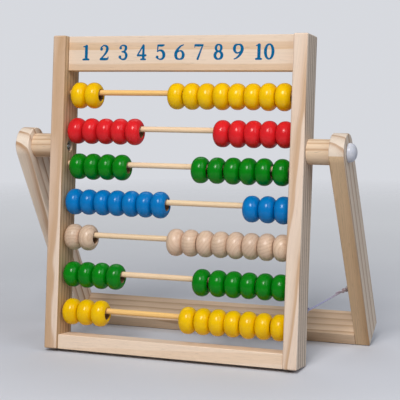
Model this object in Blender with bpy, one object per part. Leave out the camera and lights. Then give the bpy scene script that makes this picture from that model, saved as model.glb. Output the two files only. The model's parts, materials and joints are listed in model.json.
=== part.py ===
"""A counting frame: ten beads on each of seven rods in a wooden frame, held leaning by a folding stand.

The frame leans back on its rear bottom edge. Two legs, joined by a crossbar, turn on bolts through the
posts and stand behind it; a cord keeps them from opening further. Ten beads fill most of a rod, so each
row has a group pushed to the left and a group pushed to the right, and each group is one solid here.
"""

from math import cos, pi, radians, sin

import bmesh
import bpy
from mathutils import Matrix, Vector

# Sizes in metres. X runs along the rods, Y from the front to the back, Z up.
GAP = 0.0003  # between pieces that touch
HOLE_CLEARANCE = 1.2 * GAP  # on the radius of a hole around a dowel or a screw eye's shank
PAST_FACE = 0.002  # from a face to the end of a cutter that goes through it
SHARP_ANGLE = radians(40)  # edges that turn more than this stay sharp on a smooth piece

# The frame.
FRAME_WIDTH = 0.210
FRAME_HEIGHT = 0.249
FRAME_DEPTH = 0.0255
LEAN = radians(6)
POST_THICK = 0.0113
OPENING_WIDTH = FRAME_WIDTH - 2 * POST_THICK

# The rails between the posts. Their faces are set back from the posts' fronts.
TOP_RAIL_HEIGHT = 0.0271
TOP_RAIL_DEPTH = 0.0115
TOP_RAIL_SET_BACK = 0.0055
TOP_RAIL_BELOW = 0.0003  # from the posts' tops to its top
BOTTOM_RAIL_HEIGHT = 0.0116
BOTTOM_RAIL_DEPTH = 0.0200
BOTTOM_RAIL_SET_BACK = 0.0016

# The rods, from the top row down.
ROD_RADIUS = 0.00225
ROD_SIDES = 10
ROD_SOCKET_DEPTH = 0.007
ROD_FROM_FRONT = 0.0128
TOP_ROD_HEIGHT = 0.2047
UPPER_ROW_PITCH = 0.0283
LOWER_ROW_PITCH = 0.0299
UPPER_ROWS = 5  # the rows that are an upper pitch apart

# The beads.
BEAD_RADIUS = 0.0104
BEAD_WIDTH = 0.0125
BEAD_BORE_RADIUS = 0.0046
BEAD_SIDES = 12
BEAD_VALLEY_RADIUS = 0.0064  # where two beads touch
BEAD_SHOULDER_RADIUS = 0.0096
BEAD_SHOULDER = 0.22  # of the bead's width, from its end to its shoulder
BEAD_DROP = BEAD_BORE_RADIUS * cos(pi / BEAD_SIDES) - ROD_RADIUS - GAP  # a bead hangs on its rod
BEADS_PER_ROD = 10

# The colour of each row, the beads in its left group, and each group's distance from its post.
ROWS = [
    ("yellow", 2, 0.0023, 0.0028),
    ("red", 5, 0.0004, 0.0011),
    ("green", 4, 0.0028, 0.0026),
    ("blue", 7, 0.0004, 0.0004),
    ("natural", 2, 0.0005, 0.0004),
    ("green", 4, 0.0005, 0.0005),
    ("yellow", 3, 0.0008, 0.0004),
]

# Where beads stand apart inside a row's right group: after the bead of this number, from the left, this far.
# The group stays one solid, so a neck as thick as the beads' valley fills each gap.
LOOSE_BEADS = {2: {1: 0.0010, 2: 0.0004, 5: 0.0015}, 5: {1: 0.0009}}  # by row, from 0 at the top

# The stand. Its legs turn about the pivot, which is this far up the posts and behind their faces.
PIVOT_HEIGHT = 0.162
PIVOT_FROM_FRONT = 0.0125
SPACER_LENGTH = 0.0186
SPACER_RADIUS = 0.0097
SPACER_SIDES = 16
LEG_THICK = 0.0116
LEG_WIDTH = 0.0285
LEG_SLANT = radians(29.7)
LEG_TOP_STEPS = 8
CROSSBAR_THICK = 0.0107

# The pivots' ironwork: bolt, nut, washer and the cap over the bolt's head.
BOLT_RADIUS = 0.002
BOLT_HOLE_RADIUS = 0.0024
BOLT_SIDES = 10
BOLT_HEAD_RADIUS = 0.004
BOLT_HEAD_HEIGHT = 0.0024
BOLT_HEAD_BEVEL = 0.4  # of the head's height, at its top
BOLT_HEAD_CROWN = 0.62  # of the head's radius, inside the bevel
BOLT_TIP_IN_POST = 0.0008  # from the post's inner face
NUT_RADIUS = 0.00404  # across its corners
NUT_BORE_RADIUS = 0.0026  # of its six corners, around the thread
NUT_SIDES = 6
NUT_HEIGHT = 0.0032
NUT_RECESS_RADIUS = 0.0045
NUT_RECESS_DEPTH = 0.0046
WASHER_RADIUS = 0.0058
WASHER_THICK = 0.0010
CAP_RADIUS = 0.0072
CAP_HEIGHT = 0.0064
CAP_WALL = 0.0010
CAP_SIDES = 16
CAP_RIM = 0.3  # of the cap's height, where its side stands straight before it curves in
CAP_DOME_STEPS = 5

# The dowels that hold the rails and the crossbar.
DOWEL_RADIUS = 0.0022
DOWEL_SIDES = 8
DOWEL_IN_POST = 0.0078
DOWEL_IN_RAIL = 0.0122
DOWEL_SPACING = 0.0125

# The cord and the screw eyes that it is tied to, on the right side.
CORD_RADIUS = 0.0007
CORD_STEPS = 16
CORD_BEVEL_STEPS = 2
EYE_RING_RADIUS = 0.0021
EYE_RING_STEPS = 12
EYE_WIRE_RADIUS = 0.0006
EYE_WIRE_SIDES = 6
POST_EYE_REACH = 0.0050  # from the wood to the ring's centre
LEG_EYE_REACH = 0.0038
EYE_IN_WOOD = 0.0060
POST_EYE_HEIGHT = 0.0392
LEG_EYE_DOWN = 0.1310  # from the pivot, along the leg

# Where the pivot is, in the frame's own coordinates and then in the world's.
PIVOT_Y = PIVOT_FROM_FRONT - FRAME_DEPTH
PIVOT_WORLD_Y = PIVOT_HEIGHT * sin(LEAN) + PIVOT_Y * cos(LEAN)
PIVOT_WORLD_Z = PIVOT_HEIGHT * cos(LEAN) - PIVOT_Y * sin(LEAN)
LEG_BELOW = (PIVOT_WORLD_Z - LEG_WIDTH / 2 * sin(LEG_SLANT)) / cos(LEG_SLANT)

# The frame's rear edge is set back so that the whole object's footprint is centred on the origin.
FRONT_Y = -FRAME_DEPTH * cos(LEAN)
REAR_Y = PIVOT_WORLD_Y + LEG_BELOW * sin(LEG_SLANT) + LEG_WIDTH / 2 * cos(LEG_SLANT)
SET_BACK = -(FRONT_Y + REAR_Y) / 2

SIDES = {"left": -1, "right": 1}
ALONG_X = Matrix.Identity(3)
ALONG_Y = Matrix.Rotation(pi / 2, 3, "Z")


def clear_scene():
    for item in list(bpy.data.objects):
        bpy.data.objects.remove(item, do_unlink=True)


def material(name, colour, roughness, metallic=0.0):
    made = bpy.data.materials.new(name)
    made.use_nodes = True
    shader = made.node_tree.nodes["Principled BSDF"]
    shader.inputs["Base Color"].default_value = (*colour, 1.0)
    shader.inputs["Roughness"].default_value = roughness
    shader.inputs["Metallic"].default_value = metallic
    return made


def axis_empty(name, location, slant):
    made = bpy.data.objects.new(name, None)
    made.location = location
    made.rotation_euler = (slant, 0, 0)
    bpy.context.collection.objects.link(made)
    return made


def piece(name, mesh_builder, parent, look, location=(0, 0, 0), smooth=False):
    """A named object whose mesh mesh_builder adds to an empty bmesh, at a place in its parent's frame."""
    bm = bmesh.new()
    mesh_builder(bm)
    bmesh.ops.recalc_face_normals(bm, faces=bm.faces)
    mesh = bpy.data.meshes.new(name)
    bm.to_mesh(mesh)
    bm.free()
    if smooth:
        mesh.shade_smooth()
        mesh.set_sharp_from_angle(angle=SHARP_ANGLE)
    made = bpy.data.objects.new(name, mesh)
    made.parent = parent
    made.location = location
    if look:
        mesh.materials.append(look)
    bpy.context.collection.objects.link(made)
    return made


def cut(target, mesh_builder):
    """Cuts the solids that mesh_builder adds, which are in the target's parent's frame, out of the target."""
    cutter = piece(target.name + "_cutter", mesh_builder, target.parent, None)
    cutter.hide_render = True
    cutter.display_type = "WIRE"
    drill = target.modifiers.new("holes", "BOOLEAN")
    drill.operation = "DIFFERENCE"
    drill.solver = "EXACT"
    drill.object = cutter


def add_block(bm, low, high):
    size = Vector(high) - Vector(low)
    middle = (Vector(high) + Vector(low)) / 2
    bmesh.ops.create_cube(bm, size=1, matrix=Matrix.Translation(middle) @ Matrix.Diagonal((*size, 1)))


def add_turned(bm, profile, sides, centre=(0, 0, 0), turn=ALONG_X, annular=False):
    """Revolves (along, radius) points about an axis. An annular profile is closed, else its ends get caps."""
    rings = []
    for along, radius in profile:
        angles = [2 * pi * (i + 0.5) / sides for i in range(sides)]
        ring = [Vector((along, radius * cos(a), radius * sin(a))) for a in angles]
        rings.append([bm.verts.new(turn @ point + Vector(centre)) for point in ring])
    pairs = list(zip(rings, rings[1:]))
    if annular:
        pairs.append((rings[-1], rings[0]))
    else:
        bm.faces.new(rings[0])
        bm.faces.new(rings[-1])
    for first, second in pairs:
        for i in range(sides):
            k = (i + 1) % sides
            bm.faces.new((first[i], first[k], second[k], second[i]))


def add_rod(bm, start, end, radius, sides, centre=(0, 0, 0), turn=ALONG_X):
    add_turned(bm, [(start, radius), (end, radius)], sides, centre, turn)


def add_ring(bm, start, end, inner, outer, sides):
    add_turned(bm, [(start, outer), (end, outer), (end, inner), (start, inner)], sides, annular=True)


def rod_height(row):
    """The height of a rod up the posts, for the rows 0 to 6 from the top."""
    upper = min(row, UPPER_ROWS - 1)
    return TOP_ROD_HEIGHT - upper * UPPER_ROW_PITCH - (row - upper) * LOWER_ROW_PITCH


def rail_section(set_back, depth, bottom, height):
    """A rail's lowest and highest (y, z)."""
    front = set_back - FRAME_DEPTH
    return (front, bottom), (front + depth, bottom + height)


def dowel_places(section, upright):
    """The centres of a joint's two dowels, one above the other or side by side in a board's section."""
    low, high = section
    middle_y, middle_z = (low[0] + high[0]) / 2, (low[1] + high[1]) / 2
    step = DOWEL_SPACING / 2
    if upright:
        return {"upper": (middle_y, middle_z + step), "lower": (middle_y, middle_z - step)}
    return {"front": (middle_y - step, middle_z), "rear": (middle_y + step, middle_z)}


TOP_RAIL_BOTTOM = FRAME_HEIGHT - TOP_RAIL_BELOW - TOP_RAIL_HEIGHT
TOP_RAIL = rail_section(TOP_RAIL_SET_BACK, TOP_RAIL_DEPTH, TOP_RAIL_BOTTOM, TOP_RAIL_HEIGHT)
BOTTOM_RAIL = rail_section(BOTTOM_RAIL_SET_BACK, BOTTOM_RAIL_DEPTH, 0, BOTTOM_RAIL_HEIGHT)
CROSSBAR = (-LEG_WIDTH / 2, -LEG_BELOW), (LEG_WIDTH / 2, -LEG_BELOW + CROSSBAR_THICK)
TOP_DOWELS = dowel_places(TOP_RAIL, upright=True)
BOTTOM_DOWELS = dowel_places(BOTTOM_RAIL, upright=False)
FOOT_DOWELS = dowel_places(CROSSBAR, upright=False)


def build_post(frame, side, look):
    """A post with the rods' sockets, the bolt's hole with a recess for its nut, and the dowels' holes."""
    out = SIDES[side]
    inner = out * OPENING_WIDTH / 2
    outer = out * FRAME_WIDTH / 2

    def body(bm):
        low = (min(inner, outer), -FRAME_DEPTH, 0)
        high = (max(inner, outer), 0, FRAME_HEIGHT)
        add_block(bm, low, high)

    def holes(bm):
        mouth = inner - out * PAST_FACE
        rod_y = ROD_FROM_FRONT - FRAME_DEPTH
        for row in range(len(ROWS)):
            end = inner + out * ROD_SOCKET_DEPTH
            add_rod(bm, mouth, end, ROD_RADIUS + GAP, ROD_SIDES, (0, rod_y, rod_height(row)))
        for y, z in [*TOP_DOWELS.values(), *BOTTOM_DOWELS.values()]:
            end = inner + out * (DOWEL_IN_POST + GAP)
            add_rod(bm, mouth, end, DOWEL_RADIUS + HOLE_CLEARANCE, DOWEL_SIDES, (0, y, z))
        step = inner + out * NUT_RECESS_DEPTH
        beyond = outer + out * PAST_FACE
        recess = [(mouth, NUT_RECESS_RADIUS), (step, NUT_RECESS_RADIUS)]
        bore = [(step, BOLT_HOLE_RADIUS), (beyond, BOLT_HOLE_RADIUS)]
        add_turned(bm, recess + bore, BOLT_SIDES, (0, PIVOT_Y, PIVOT_HEIGHT))
        if side == "right":
            place = ((inner + outer) / 2, 0, POST_EYE_HEIGHT)
            radius = EYE_WIRE_RADIUS + HOLE_CLEARANCE
            add_rod(bm, -EYE_IN_WOOD - GAP, PAST_FACE, radius, DOWEL_SIDES, place, ALONG_Y)

    post = piece(side + "_post", body, frame, look)
    cut(post, holes)


def build_rail(name, parent, look, section, dowels, half_length):
    """A board between two uprights, with a pair of dowel holes in each end."""
    low, high = section

    def body(bm):
        add_block(bm, (-half_length, low[0], low[1]), (half_length, high[0], high[1]))

    def holes(bm):
        for out in SIDES.values():
            for y, z in dowels.values():
                start = out * (half_length + PAST_FACE)
                end = out * (half_length - DOWEL_IN_RAIL - GAP)
                add_rod(bm, start, end, DOWEL_RADIUS + HOLE_CLEARANCE, DOWEL_SIDES, (0, y, z))

    rail = piece(name, body, parent, look)
    cut(rail, holes)


def build_dowels(prefix, parent, look, dowels, half_length):
    for side, out in SIDES.items():
        for where, (y, z) in dowels.items():

            def body(bm, out=out, y=y, z=z):
                start = out * (half_length - DOWEL_IN_RAIL)
                end = out * (half_length + DOWEL_IN_POST)
                add_rod(bm, start, end, DOWEL_RADIUS, DOWEL_SIDES, (0, y, z))

            piece(f"{prefix}_{side}_dowel_{where}", body, parent, look)


def build_rod(frame, row, look):
    half = OPENING_WIDTH / 2 + ROD_SOCKET_DEPTH - GAP
    place = (0, ROD_FROM_FRONT - FRAME_DEPTH, rod_height(row))

    def body(bm):
        add_rod(bm, -half, half, ROD_RADIUS, ROD_SIDES)

    piece(f"rod_{row + 1}", body, frame, look, place, smooth=True)


def bead_outline(count, loose):
    """The (along, radius) outline of beads side by side, from their left end, with the gaps in loose."""
    outline = []
    start = 0.0
    for i in range(count):
        outline.append((start, BEAD_VALLEY_RADIUS))
        outline.append((start + BEAD_SHOULDER * BEAD_WIDTH, BEAD_SHOULDER_RADIUS))
        outline.append((start + BEAD_WIDTH / 2, BEAD_RADIUS))
        outline.append((start + (1 - BEAD_SHOULDER) * BEAD_WIDTH, BEAD_SHOULDER_RADIUS))
        start += BEAD_WIDTH
        if i + 1 in loose:
            outline.append((start, BEAD_VALLEY_RADIUS))
            start += loose[i + 1]
    outline.append((start, BEAD_VALLEY_RADIUS))
    return outline


def build_beads(frame, row, looks):
    """A row's two groups of beads. Their bore is wider than the rod, so they hang below its middle."""
    colour, left_count, left_gap, right_gap = ROWS[row]
    left = bead_outline(left_count, {})
    right = bead_outline(BEADS_PER_ROD - left_count, LOOSE_BEADS.get(row, {}))
    right_start = OPENING_WIDTH / 2 - right_gap - right[-1][0]
    groups = [("left", left, -OPENING_WIDTH / 2 + left_gap), ("right", right, right_start)]
    for side, outline, start in groups:
        bore = [(outline[-1][0], BEAD_BORE_RADIUS), (outline[0][0], BEAD_BORE_RADIUS)]
        place = (start, ROD_FROM_FRONT - FRAME_DEPTH, rod_height(row) - BEAD_DROP)

        def body(bm, outline=outline, bore=bore):
            add_turned(bm, outline + bore, BEAD_SIDES, annular=True)

        piece(f"row_{row + 1}_{side}_beads", body, frame, looks[colour], place, smooth=True)


def build_spacer(frame, side, look):
    inner = FRAME_WIDTH / 2 + GAP
    outer = FRAME_WIDTH / 2 + SPACER_LENGTH - GAP
    ends = sorted((SIDES[side] * inner, SIDES[side] * outer))
    place = (0, PIVOT_Y, PIVOT_HEIGHT)

    def body(bm):
        add_ring(bm, *ends, BOLT_HOLE_RADIUS, SPACER_RADIUS, SPACER_SIDES)

    piece(side + "_spacer", body, frame, look, place, smooth=True)


def build_bolt_and_nut(frame, side, steel):
    """The bolt runs from its head outside the leg to the nut in the post's recess."""
    out = SIDES[side]
    under_head = FRAME_WIDTH / 2 + SPACER_LENGTH + LEG_THICK + WASHER_THICK + 2 * GAP
    tip = OPENING_WIDTH / 2 + BOLT_TIP_IN_POST
    nut_outer = OPENING_WIDTH / 2 + NUT_RECESS_DEPTH - GAP
    place = (0, PIVOT_Y, PIVOT_HEIGHT)

    def bolt(bm):
        shank = [(out * tip, BOLT_RADIUS), (out * under_head, BOLT_RADIUS)]
        top = out * (under_head + BOLT_HEAD_HEIGHT)
        head = [
            (out * under_head, BOLT_HEAD_RADIUS),
            (top - out * BOLT_HEAD_HEIGHT * BOLT_HEAD_BEVEL, BOLT_HEAD_RADIUS),
            (top, BOLT_HEAD_RADIUS * BOLT_HEAD_CROWN),
        ]
        add_turned(bm, shank + head, BOLT_SIDES)

    def nut(bm):
        ends = sorted((out * (nut_outer - NUT_HEIGHT), out * nut_outer))
        add_ring(bm, *ends, NUT_BORE_RADIUS, NUT_RADIUS, NUT_SIDES)

    piece(side + "_pivot_bolt", bolt, frame, steel, place, smooth=True)
    piece(side + "_pivot_nut", nut, frame, steel, place)


def build_washer_and_cap(stand, side, steel, plastic):
    """A washer under the bolt's head, and a domed cap over both."""
    out = SIDES[side]
    face = FRAME_WIDTH / 2 + SPACER_LENGTH + LEG_THICK + GAP

    def washer(bm):
        ends = sorted((out * face, out * (face + WASHER_THICK)))
        add_ring(bm, *ends, BOLT_HOLE_RADIUS, WASHER_RADIUS, BOLT_SIDES)

    def dome(height, radius):
        quarter = [pi / 2 * i / CAP_DOME_STEPS for i in range(CAP_DOME_STEPS)]
        flat = CAP_RIM * height
        return [(0, radius)] + [(flat + (height - flat) * sin(a), radius * cos(a)) for a in quarter]

    def cap(bm):
        outside = dome(CAP_HEIGHT, CAP_RADIUS)
        inside = dome(CAP_HEIGHT - CAP_WALL, CAP_RADIUS - CAP_WALL)
        profile = [(out * (face + along), radius) for along, radius in outside + inside[::-1]]
        rings = len(outside)
        add_turned(bm, profile, CAP_SIDES, annular=True)
        close_cap(bm, profile, rings)

    def close_cap(bm, profile, rings):
        """Turns the gap between the outer and inner domes' last rings into two flat crowns."""
        bm.verts.ensure_lookup_table()
        outer_ring = set(bm.verts[(rings - 1) * CAP_SIDES : rings * CAP_SIDES])
        inner_ring = set(bm.verts[rings * CAP_SIDES : (rings + 1) * CAP_SIDES])
        between = [f for f in bm.faces if set(f.verts) & outer_ring and set(f.verts) & inner_ring]
        bmesh.ops.delete(bm, geom=between, context="FACES_ONLY")
        bm.verts.ensure_lookup_table()
        bm.faces.new(bm.verts[(rings - 1) * CAP_SIDES : rings * CAP_SIDES])
        bm.faces.new(bm.verts[rings * CAP_SIDES : (rings + 1) * CAP_SIDES])

    piece(side + "_cap_washer", washer, stand, steel)
    piece(side + "_pivot_cap", cap, stand, plastic, smooth=True)


def build_leg(stand, side, look):
    """A leg with a round top about the pivot and a square end, its lower front edge on the ground."""
    out = SIDES[side]
    inner = out * (FRAME_WIDTH / 2 + SPACER_LENGTH)
    outer = inner + out * LEG_THICK
    half = LEG_WIDTH / 2

    def body(bm):
        top = [pi * i / LEG_TOP_STEPS for i in range(LEG_TOP_STEPS + 1)]
        outline = [(half * cos(a), half * sin(a)) for a in top]
        outline += [(-half, -LEG_BELOW), (half, -LEG_BELOW)]
        face = bm.faces.new([bm.verts.new((inner, y, z)) for y, z in outline])
        moved = bmesh.ops.extrude_face_region(bm, geom=[face])["geom"]
        corners = [v for v in moved if isinstance(v, bmesh.types.BMVert)]
        bmesh.ops.translate(bm, verts=corners, vec=(outer - inner, 0, 0))

    def holes(bm):
        mouth = inner - out * PAST_FACE
        add_rod(bm, mouth, outer + out * PAST_FACE, BOLT_HOLE_RADIUS, BOLT_SIDES)
        for y, z in FOOT_DOWELS.values():
            end = inner + out * (DOWEL_IN_POST + GAP)
            add_rod(bm, mouth, end, DOWEL_RADIUS + HOLE_CLEARANCE, DOWEL_SIDES, (0, y, z))
        if side == "right":
            end = inner + EYE_IN_WOOD + GAP
            add_rod(bm, mouth, end, EYE_WIRE_RADIUS + HOLE_CLEARANCE, DOWEL_SIDES, (0, 0, -LEG_EYE_DOWN))

    leg = piece(side + "_leg", body, stand, look)
    cut(leg, holes)


def build_eye(name, parent, steel, place, reach, turn):
    """A screw eye: a ring on a shank. It points along -X before it is turned, from the wood at place."""

    def body(bm):
        add_rod(bm, -reach + EYE_RING_RADIUS, EYE_IN_WOOD, EYE_WIRE_RADIUS, DOWEL_SIDES, place, turn)

    def ring(bm):
        rings = []
        for i in range(EYE_RING_STEPS):
            around = 2 * pi * i / EYE_RING_STEPS
            spoke = Vector((cos(around), 0, sin(around)))
            loop = []
            for k in range(EYE_WIRE_SIDES):
                a = 2 * pi * (k + 0.5) / EYE_WIRE_SIDES
                point = spoke * (EYE_RING_RADIUS + EYE_WIRE_RADIUS * cos(a))
                point += Vector((-reach, EYE_WIRE_RADIUS * sin(a), 0))
                loop.append(bm.verts.new(turn @ point + Vector(place)))
            rings.append(loop)
        for i in range(EYE_RING_STEPS):
            first, second = rings[i], rings[(i + 1) % EYE_RING_STEPS]
            for k in range(EYE_WIRE_SIDES):
                m = (k + 1) % EYE_WIRE_SIDES
                bm.faces.new((first[k], first[m], second[m], second[k]))

    eye = piece(name, body, parent, steel, smooth=True)
    loop = piece(name + "_ring_guide", ring, parent, None)
    loop.hide_render = True
    loop.display_type = "WIRE"
    join = eye.modifiers.new("ring", "BOOLEAN")
    join.operation = "UNION"
    join.solver = "EXACT"
    join.object = loop


def build_cord(start, end, look):
    """The taut cord between the two screw eyes, each end just clear of its ring."""
    along = (end - start).normalized()
    clear = EYE_RING_RADIUS + EYE_WIRE_RADIUS + GAP
    first, last = start + along * clear, end - along * clear
    curve = bpy.data.curves.new("limiter_cord", "CURVE")
    curve.dimensions = "3D"
    line = curve.splines.new("POLY")
    line.points.add(CORD_STEPS)
    for i, point in enumerate(line.points):
        point.co = (*first.lerp(last, i / CORD_STEPS), 1)
    curve.bevel_depth = CORD_RADIUS
    curve.bevel_resolution = CORD_BEVEL_STEPS
    curve.use_fill_caps = True
    curve.materials.append(look)
    made = bpy.data.objects.new("limiter_cord", curve)
    bpy.context.collection.objects.link(made)


def main():
    clear_scene()
    pine = material("pine", (0.72, 0.55, 0.38), 0.6)
    bamboo = material("rod_wood", (0.68, 0.45, 0.22), 0.5)
    steel = material("steel", (0.35, 0.35, 0.37), 0.35, 1.0)
    plastic = material("cap_plastic", (0.78, 0.80, 0.84), 0.35)
    cord_look = material("cord", (0.45, 0.43, 0.58), 0.9)
    bead_looks = {
        "yellow": material("bead_yellow", (0.90, 0.56, 0.0), 0.25),
        "red": material("bead_red", (0.52, 0.01, 0.02), 0.25),
        "green": material("bead_green", (0.0, 0.16, 0.03), 0.25),
        "blue": material("bead_blue", (0.0, 0.13, 0.42), 0.25),
        "natural": material("bead_natural", (0.55, 0.36, 0.20), 0.35),
    }

    frame = axis_empty("frame_axis", (0, SET_BACK, 0), -LEAN)
    pivot = (0, SET_BACK + PIVOT_WORLD_Y, PIVOT_WORLD_Z)
    stand = axis_empty("stand_axis", pivot, LEG_SLANT)

    half_opening = OPENING_WIDTH / 2
    build_rail("top_rail", frame, pine, TOP_RAIL, TOP_DOWELS, half_opening - GAP)
    build_rail("bottom_rail", frame, pine, BOTTOM_RAIL, BOTTOM_DOWELS, half_opening - GAP)
    build_dowels("top", frame, pine, TOP_DOWELS, half_opening)
    build_dowels("bottom", frame, pine, BOTTOM_DOWELS, half_opening)

    leg_inner = FRAME_WIDTH / 2 + SPACER_LENGTH
    build_rail("crossbar", stand, pine, CROSSBAR, FOOT_DOWELS, leg_inner - GAP)
    build_dowels("crossbar", stand, pine, FOOT_DOWELS, leg_inner)

    for side in SIDES:
        build_post(frame, side, pine)
        build_spacer(frame, side, pine)
        build_bolt_and_nut(frame, side, steel)
        build_leg(stand, side, pine)
        build_washer_and_cap(stand, side, steel, plastic)
    for row in range(len(ROWS)):
        build_rod(frame, row, bamboo)
        build_beads(frame, row, bead_looks)

    post_eye = Vector((half_opening + POST_THICK / 2, 0, POST_EYE_HEIGHT))
    leg_eye = Vector((leg_inner, 0, -LEG_EYE_DOWN))
    out_of_post = Matrix.Rotation(-pi / 2, 3, "Z")
    build_eye("post_cord_eye", frame, steel, post_eye, POST_EYE_REACH, out_of_post)
    lying = Matrix.Rotation(pi / 2, 3, "X")
    build_eye("leg_cord_eye", stand, steel, leg_eye, LEG_EYE_REACH, lying)
    bpy.context.view_layer.update()
    post_ring = frame.matrix_world @ (post_eye + Vector((0, POST_EYE_REACH, 0)))
    leg_ring = stand.matrix_world @ (leg_eye - Vector((LEG_EYE_REACH, 0, 0)))
    build_cord(post_ring, leg_ring, cord_look)


main()
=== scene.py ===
"""The looks of the counting frame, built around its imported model.

The frame leans back and the stand slants, so most pieces are made upright in the frame's or the stand's
own coordinates, then turned into place. Every mesh keeps where it is in the grain of its wood.
"""

import json
import random
from math import cos, hypot, pi, radians, sin

import bmesh
import bpy
import numpy as np
from mathutils import Matrix, Vector


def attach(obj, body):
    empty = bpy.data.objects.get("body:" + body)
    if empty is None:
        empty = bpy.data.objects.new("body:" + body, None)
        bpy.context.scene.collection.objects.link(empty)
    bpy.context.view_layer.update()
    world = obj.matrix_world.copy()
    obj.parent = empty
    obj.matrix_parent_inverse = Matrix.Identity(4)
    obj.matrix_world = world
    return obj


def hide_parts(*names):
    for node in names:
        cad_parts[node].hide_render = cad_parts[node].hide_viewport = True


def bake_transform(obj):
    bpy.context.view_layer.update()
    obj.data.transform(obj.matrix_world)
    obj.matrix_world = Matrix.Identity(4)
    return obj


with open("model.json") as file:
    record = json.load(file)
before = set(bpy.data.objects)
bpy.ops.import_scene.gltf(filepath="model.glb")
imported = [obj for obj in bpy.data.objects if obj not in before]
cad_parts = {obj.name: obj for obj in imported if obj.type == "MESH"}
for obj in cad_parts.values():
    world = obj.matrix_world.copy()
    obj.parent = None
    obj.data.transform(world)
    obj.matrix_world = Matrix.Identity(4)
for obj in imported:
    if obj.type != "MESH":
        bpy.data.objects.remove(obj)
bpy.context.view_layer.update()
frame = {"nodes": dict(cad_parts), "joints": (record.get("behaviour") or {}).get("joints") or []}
scene = bpy.context.scene

# Sizes in metres, as in the model.
LEAN = radians(6)
SLANT = radians(29.7)
ROD_RADIUS = 0.00225
BEAD_RADIUS = 0.0104
BEAD_PITCH = 0.0125
BEAD_BORE = 0.0046
BOLT_RADIUS = 0.002
BOLT_HOLE = 0.0024
RECESS_RADIUS = 0.0045
RECESS_DEPTH = 0.0046
DOWEL_RADIUS = 0.0022
CORD_RADIUS = 0.0007
EYE_RING = 0.0021
EYE_WIRE = 0.0006
POST_EYE_REACH = 0.0050
LEG_EYE_REACH = 0.0038
EYE_IN_WOOD = 0.0060
POST_EYE_HEIGHT = 0.0392
LEG_EYE_DOWN = 0.1310
GAP = 0.0003
TIGHT = 0.00006  # a close fit between two pieces that don't move
JOINT_FILL = 0.8 * GAP  # how far a board or spacer reaches into the gap at its end, to leave a fine line
PAST_FACE = 0.001  # how far outside a face a cutter starts
ROD_SOCKET = 0.007
DOWEL_IN_POST = 0.0081
DOWEL_IN_RAIL = 0.0125
LIP = 0.0002  # the eased edge of a hole's mouth
ROD_LIP = 0.00025
EYE_LIP = 0.0001
EYE_HOLE = EYE_WIRE + 0.0002
POST_EDGE = 0.0013
LEG_EDGE = 0.0008
LEG_STEPS = 40  # round the leg's top end
SPACER_RADIUS = 0.0096  # between the model's flats and its corners
BEAD_MOUTH = 0.0051  # the radius where the flat end meets the bore's rounded edge
BEAD_RIM = 0.0062  # the radius of its flat ends' edge
TOUCH = 0.00004  # how far a bead stays off its rod
THREAD_PITCH = 0.0007
BOLT_THREADED = 0.020
BOLT_HEAD_RADIUS = 0.0040
BOLT_HEAD_HEIGHT = 0.0024
NUT_BORE = 0.0026
NUT_TO_FLAT = 0.0035
NUT_TO_CORNER = 0.00404
WASHER_RADIUS = 0.0058
CAP_RADIUS = 0.0072
CAP_WALL = 0.0010
CAP_FOOT = 0.0014  # the height where the dome starts
FLOOR_RADIUS = 1.6
SIDES = {"left": -1, "right": 1}
# The colour of each row, the beads in its left group, how much narrower than the usual pitch the left and
# the right group's beads are, and the gaps after beads of these numbers in the right group.
ROWS = [
    ("yellow", 2, 0.0004, 0.0001, {}),
    ("red", 5, 0.0, 0.0, {}),
    ("green", 4, 0.0, 0.0, {1: 0.0010, 2: 0.0004, 5: 0.0015}),
    ("blue", 7, 0.0002, 0.0, {}),
    ("natural", 2, 0.0, 0.0002, {}),
    ("green", 4, 0.0, 0.0, {1: 0.0009}),
    ("yellow", 3, 0.0, 0.00017, {}),
]

# The frame's and the stand's own coordinates, from the model.
pivot = Vector(next(j for j in frame["joints"] if j["name"] == "stand_hinge")["pos_m"])
rear_edge = min((v.co for v in frame["nodes"]["left_post"].data.vertices), key=lambda co: co.z).y
FRAME = Matrix.Translation((0, rear_edge, 0)) @ Matrix.Rotation(-LEAN, 4, "X")
STAND = Matrix.Translation(pivot) @ Matrix.Rotation(SLANT, 4, "X")
PLACES = {"frame": FRAME, "stand": STAND}


def own_box(node, place):
    """A CAD node's lowest and highest corners in the coordinates of place."""
    back = place.inverted()
    points = [back @ v.co for v in frame["nodes"][node].data.vertices]
    low = Vector([min(p[i] for p in points) for i in range(3)])
    high = Vector([max(p[i] for p in points) for i in range(3)])
    return low, high


def middle(node, place):
    low, high = own_box(node, place)
    return (low + high) / 2


# ---- camera and lights

CAMERA_PLACE = (0.35325, -0.90220, 0.23343)
CAMERA_YAW, CAMERA_DOWN, CAMERA_ROLL = 21.15, 6.78, -0.26  # degrees
CAMERA_LENS, CAMERA_SENSOR = 108.9, 36  # mm
OBJECT_MIDDLE = Vector((0, 0, 0.12))


def camera():
    made = bpy.data.objects.new("camera", bpy.data.cameras.new("camera"))
    made.data.sensor_width = CAMERA_SENSOR
    made.data.lens = CAMERA_LENS
    made.data.clip_start, made.data.clip_end = 0.01, 50
    turn = Matrix.Rotation(radians(CAMERA_YAW), 4, "Z") @ Matrix.Rotation(radians(90 - CAMERA_DOWN), 4, "X")
    turn = turn @ Matrix.Rotation(radians(CAMERA_ROLL), 4, "Z")
    made.matrix_world = Matrix.Translation(CAMERA_PLACE) @ turn
    scene.collection.objects.link(made)
    scene.camera = made


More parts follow.
